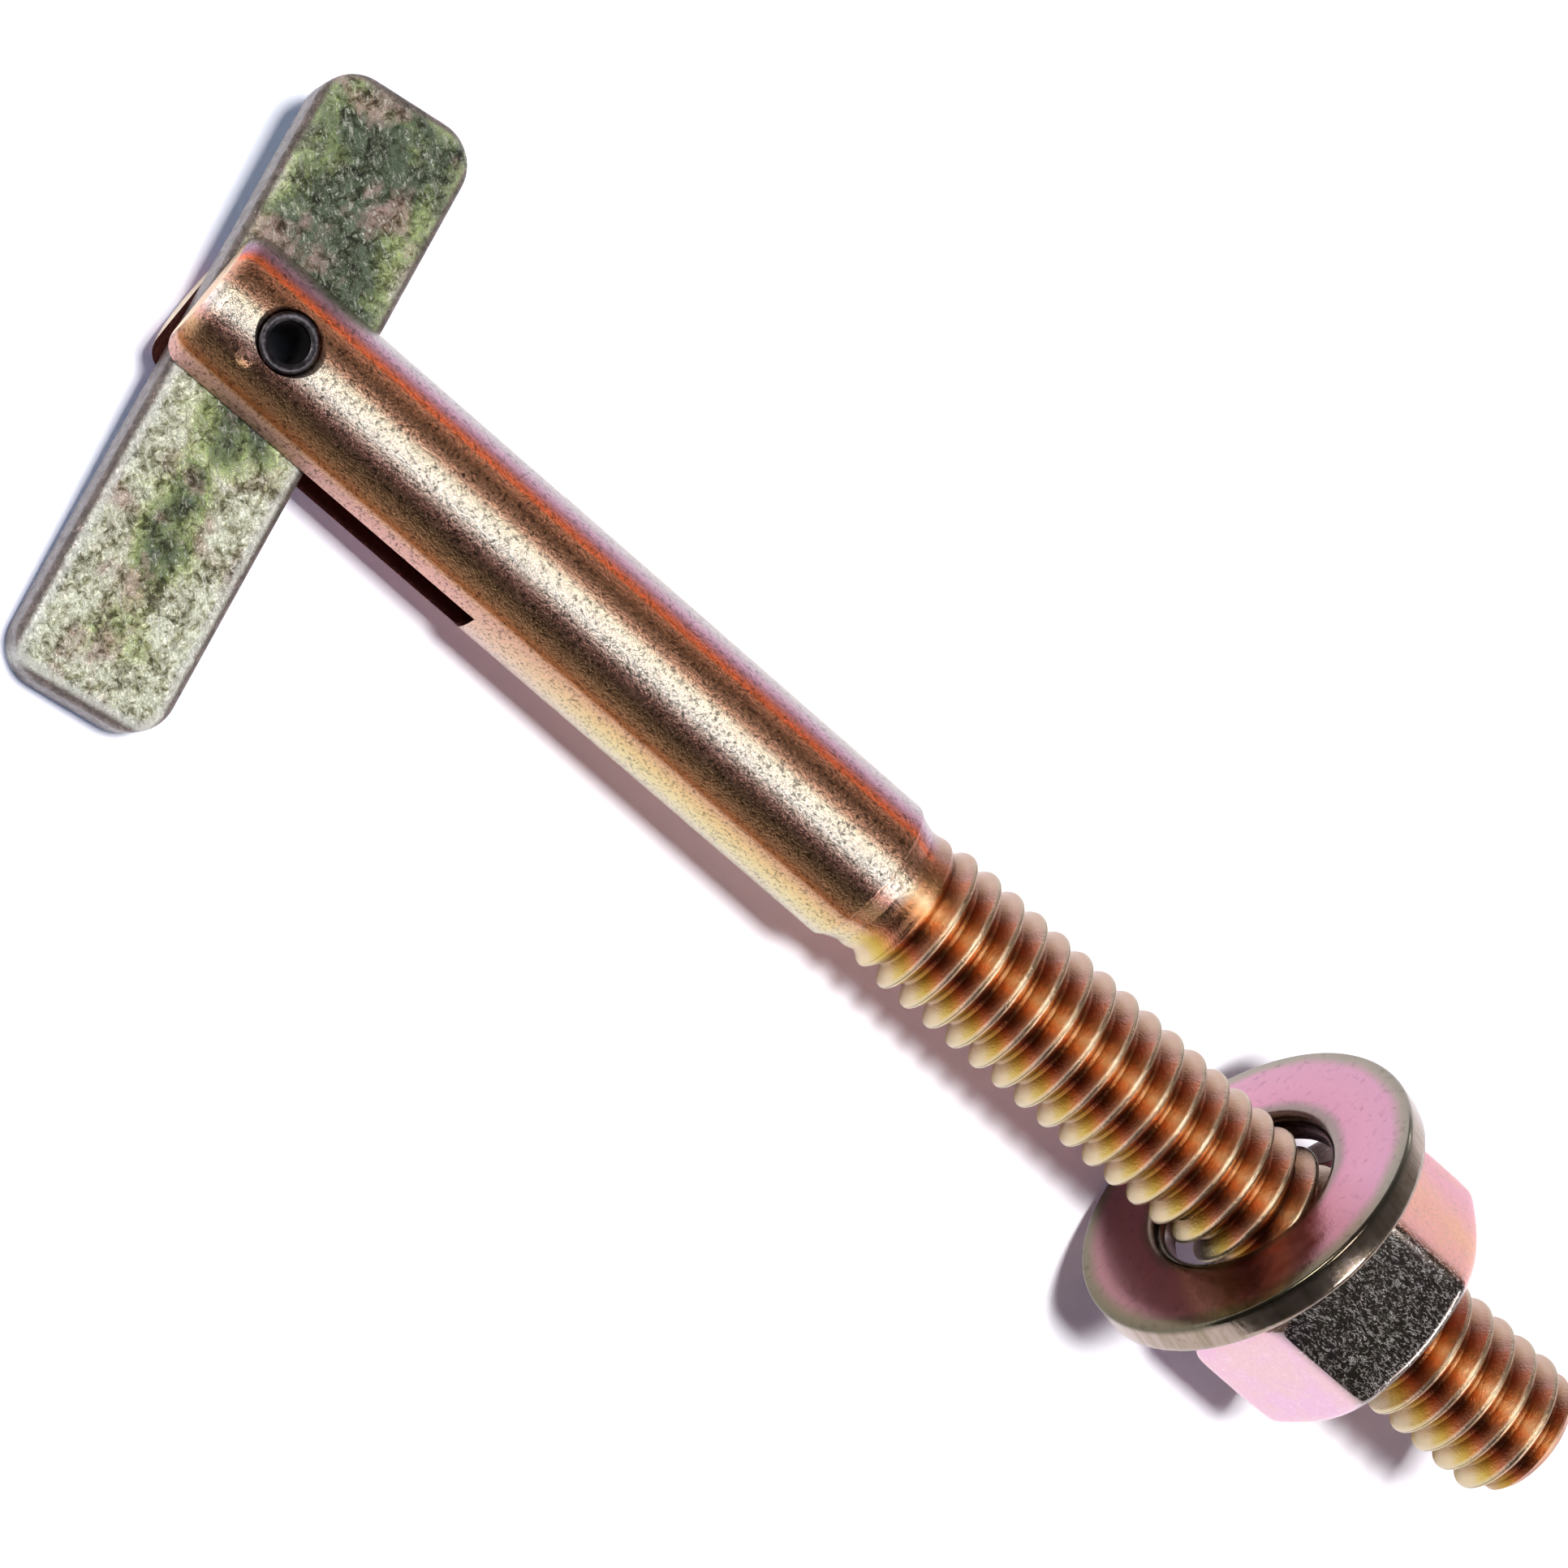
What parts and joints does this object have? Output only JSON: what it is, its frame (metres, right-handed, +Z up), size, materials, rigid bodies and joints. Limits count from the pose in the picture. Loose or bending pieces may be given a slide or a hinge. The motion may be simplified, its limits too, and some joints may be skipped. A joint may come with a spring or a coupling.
{
  "type": "hollow wall anchor",
  "caption": "Zinc plated toggle bolt for hollow walls: slotted stud with a pivoting bar, flat washer and hex nut.",
  "frame": {"origin": "on the table under the middle of the anchor's bounding box", "axes": "+Z up; the stud lies along +X, rising a little towards its threaded free end; the toggle's pivot points up and the bar's long arm reaches towards -Y"},
  "size_m": [0.0738, 0.0266, 0.0151],
  "materials": {
    "yellow_zinc": "bright yellow-chromated zinc, iridescent",
    "black_pin": "dark oiled steel"
  },
  "bodies": {
    "stud": {"anchor_stud": "yellow_zinc", "pivot_pin": "black_pin"},
    "toggle": {"toggle_bar": "yellow_zinc"},
    "washer": {"flat_washer": "yellow_zinc"},
    "nut": {"hex_nut": "yellow_zinc"}
  },
  "joints": [
    {"name": "toggle_pivot", "type": "hinge", "parent": "stud", "child": "toggle", "pos_m": [-0.03193, 0.00217, 0.00347], "axis": [0.07, 0.151, -0.986], "range_deg": [-49, 248]},
    {"name": "nut_travel", "type": "slide", "parent": "stud", "child": "washer", "axis": [0.9975, 0, 0.0708], "range_m": [-0.0208, 0.0086]},
    {"name": "nut_turn", "type": "hinge", "parent": "washer", "child": "nut", "pos_m": [0.02541, 0.00217, 0.00754], "axis": [0.9975, 0, 0.0708], "range_deg": [-5890, 2430]}
  ],
  "couplings": [
    {"joint": "nut_travel", "follows": "nut_turn", "m_per_rad": 0.00020213}
  ]
}
